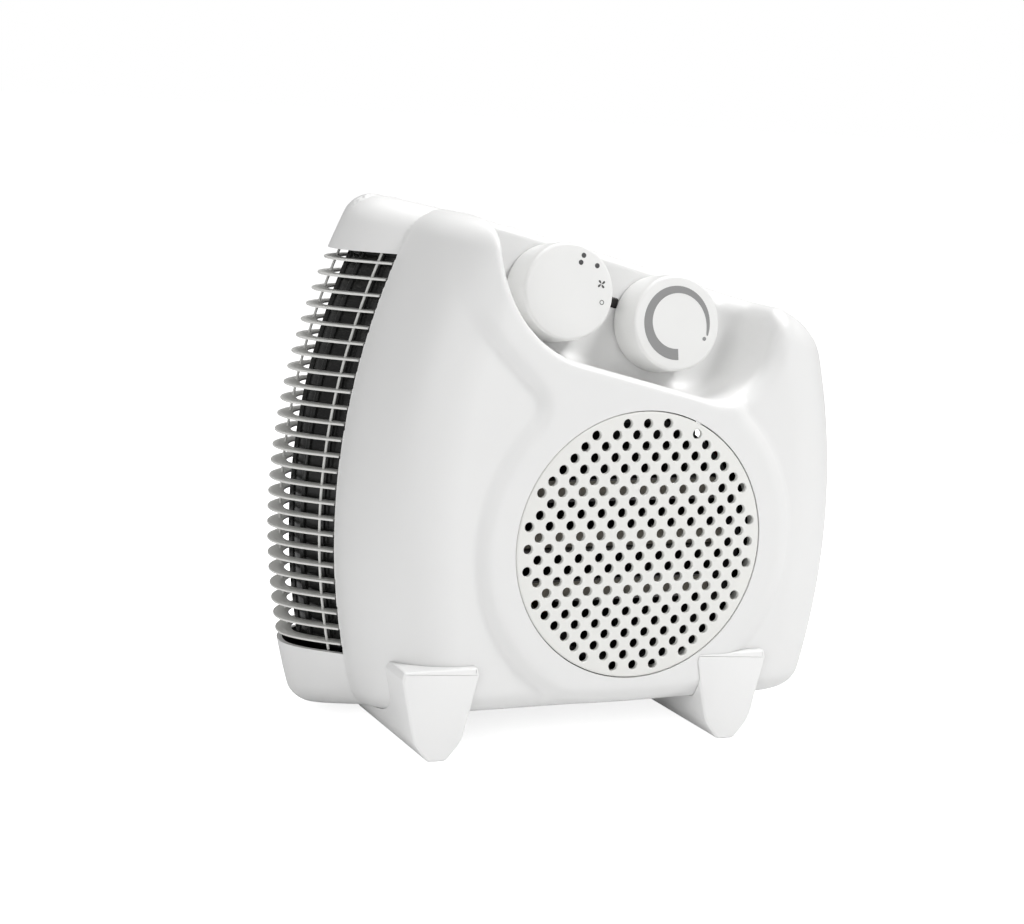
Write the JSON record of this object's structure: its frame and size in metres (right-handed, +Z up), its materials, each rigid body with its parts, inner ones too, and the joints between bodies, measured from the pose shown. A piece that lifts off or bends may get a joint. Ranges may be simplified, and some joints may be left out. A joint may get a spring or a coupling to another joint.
{
  "type": "ceramic space heater",
  "caption": "Small upright fan heater with a round perforated outlet, two control knobs in a scooped panel, finned side louvres and two skid feet.",
  "frame": {"origin": "on the floor plane, at the middle of the object's width and depth", "axes": "+Z up, -Y the front with the outlet grille and the knobs, +X to the right of a person who faces the front"},
  "size_m": [0.2766, 0.1084, 0.232],
  "materials": {
    "white_shell": "satin moulded ABS with a fine grain",
    "white_grille": "satin moulded ABS",
    "white_knob": "satin moulded ABS",
    "black_plastic": "glossy moulded plastic",
    "black_duct": "heat-resistant moulded plastic",
    "smoked_lens": "polished smoked lens",
    "lamp_glass": "neon lamp",
    "switch_nylon": "moulded nylon",
    "steel": "bright zinc plate",
    "lamination": "stacked laminations",
    "winding": "taped copper winding",
    "bronze": "sintered bronze",
    "aluminium": "folded fins",
    "heater_ceramic": "fired ceramic",
    "red_sleeve": "silicone sleeve",
    "blue_sleeve": "silicone sleeve"
  },
  "bodies": {
    "housing": {"front_shell": "white_shell", "rear_shell": "white_shell", "left_louvre": "white_shell", "right_louvre": "white_shell", "left_air_guard": "black_plastic", "right_air_guard": "black_plastic", "outlet_grille": "white_grille", "indicator_lens": "smoked_lens", "indicator_lamp": "lamp_glass", "mode_switch": "switch_nylon", "thermostat": "switch_nylon", "left_foot": "white_shell", "right_foot": "white_shell", "foot_screw_left_front": "steel", "foot_screw_left_rear": "steel", "foot_screw_right_front": "steel", "foot_screw_right_rear": "steel", "shell_screw_lower_left": "steel", "shell_screw_lower_right": "steel", "shell_screw_upper_left": "steel", "shell_screw_upper_right": "steel", "heater_duct": "black_duct", "heater_element_1": "aluminium", "heater_element_2": "aluminium", "heater_element_3": "aluminium", "heater_element_4": "aluminium", "ceramic_strip_1": "heater_ceramic", "ceramic_strip_2": "heater_ceramic", "ceramic_strip_3": "heater_ceramic", "thermal_cutout": "black_plastic", "thermal_fuse": "steel", "fan_shroud": "black_duct", "motor_bracket": "steel", "bracket_screw_left": "steel", "bracket_screw_right": "steel", "front_bearing": "bronze", "rear_bearing": "bronze", "motor_stator": "lamination", "motor_coil": "winding", "cord_gland": "black_plastic", "cord_clamp_base": "switch_nylon", "cord_clamp_bar": "switch_nylon", "terminal_block": "switch_nylon", "wire_supply": "red_sleeve", "wire_link": "red_sleeve", "wire_heater": "blue_sleeve", "wire_motor": "blue_sleeve"},
    "mode_dial": {"mode_knob": "white_knob", "mode_spindle": "steel"},
    "thermostat_dial": {"thermostat_knob": "white_knob", "thermostat_spindle": "steel"},
    "fan_rotor": {"fan_blade": "black_plastic", "motor_shaft": "steel", "fan_clip": "steel", "motor_rotor": "aluminium"}
  },
  "joints": [
    {"name": "mode_knob_turn", "type": "hinge", "parent": "housing", "child": "mode_dial", "pos_m": [-0.027, -0.01284, 0.19452], "axis": [0, -0.9903, 0.1392], "range_deg": [-90, 0]},
    {"name": "thermostat_knob_turn", "type": "hinge", "parent": "housing", "child": "thermostat_dial", "pos_m": [0.025, -0.01466, 0.18159], "axis": [0, -0.9903, 0.1392], "range_deg": [-115, 189]},
    {"name": "fan_spin", "type": "hinge", "parent": "housing", "child": "fan_rotor", "pos_m": [0.004, 0.00525, 0.09], "axis": [0, -1, 0], "continuous": true}
  ]
}
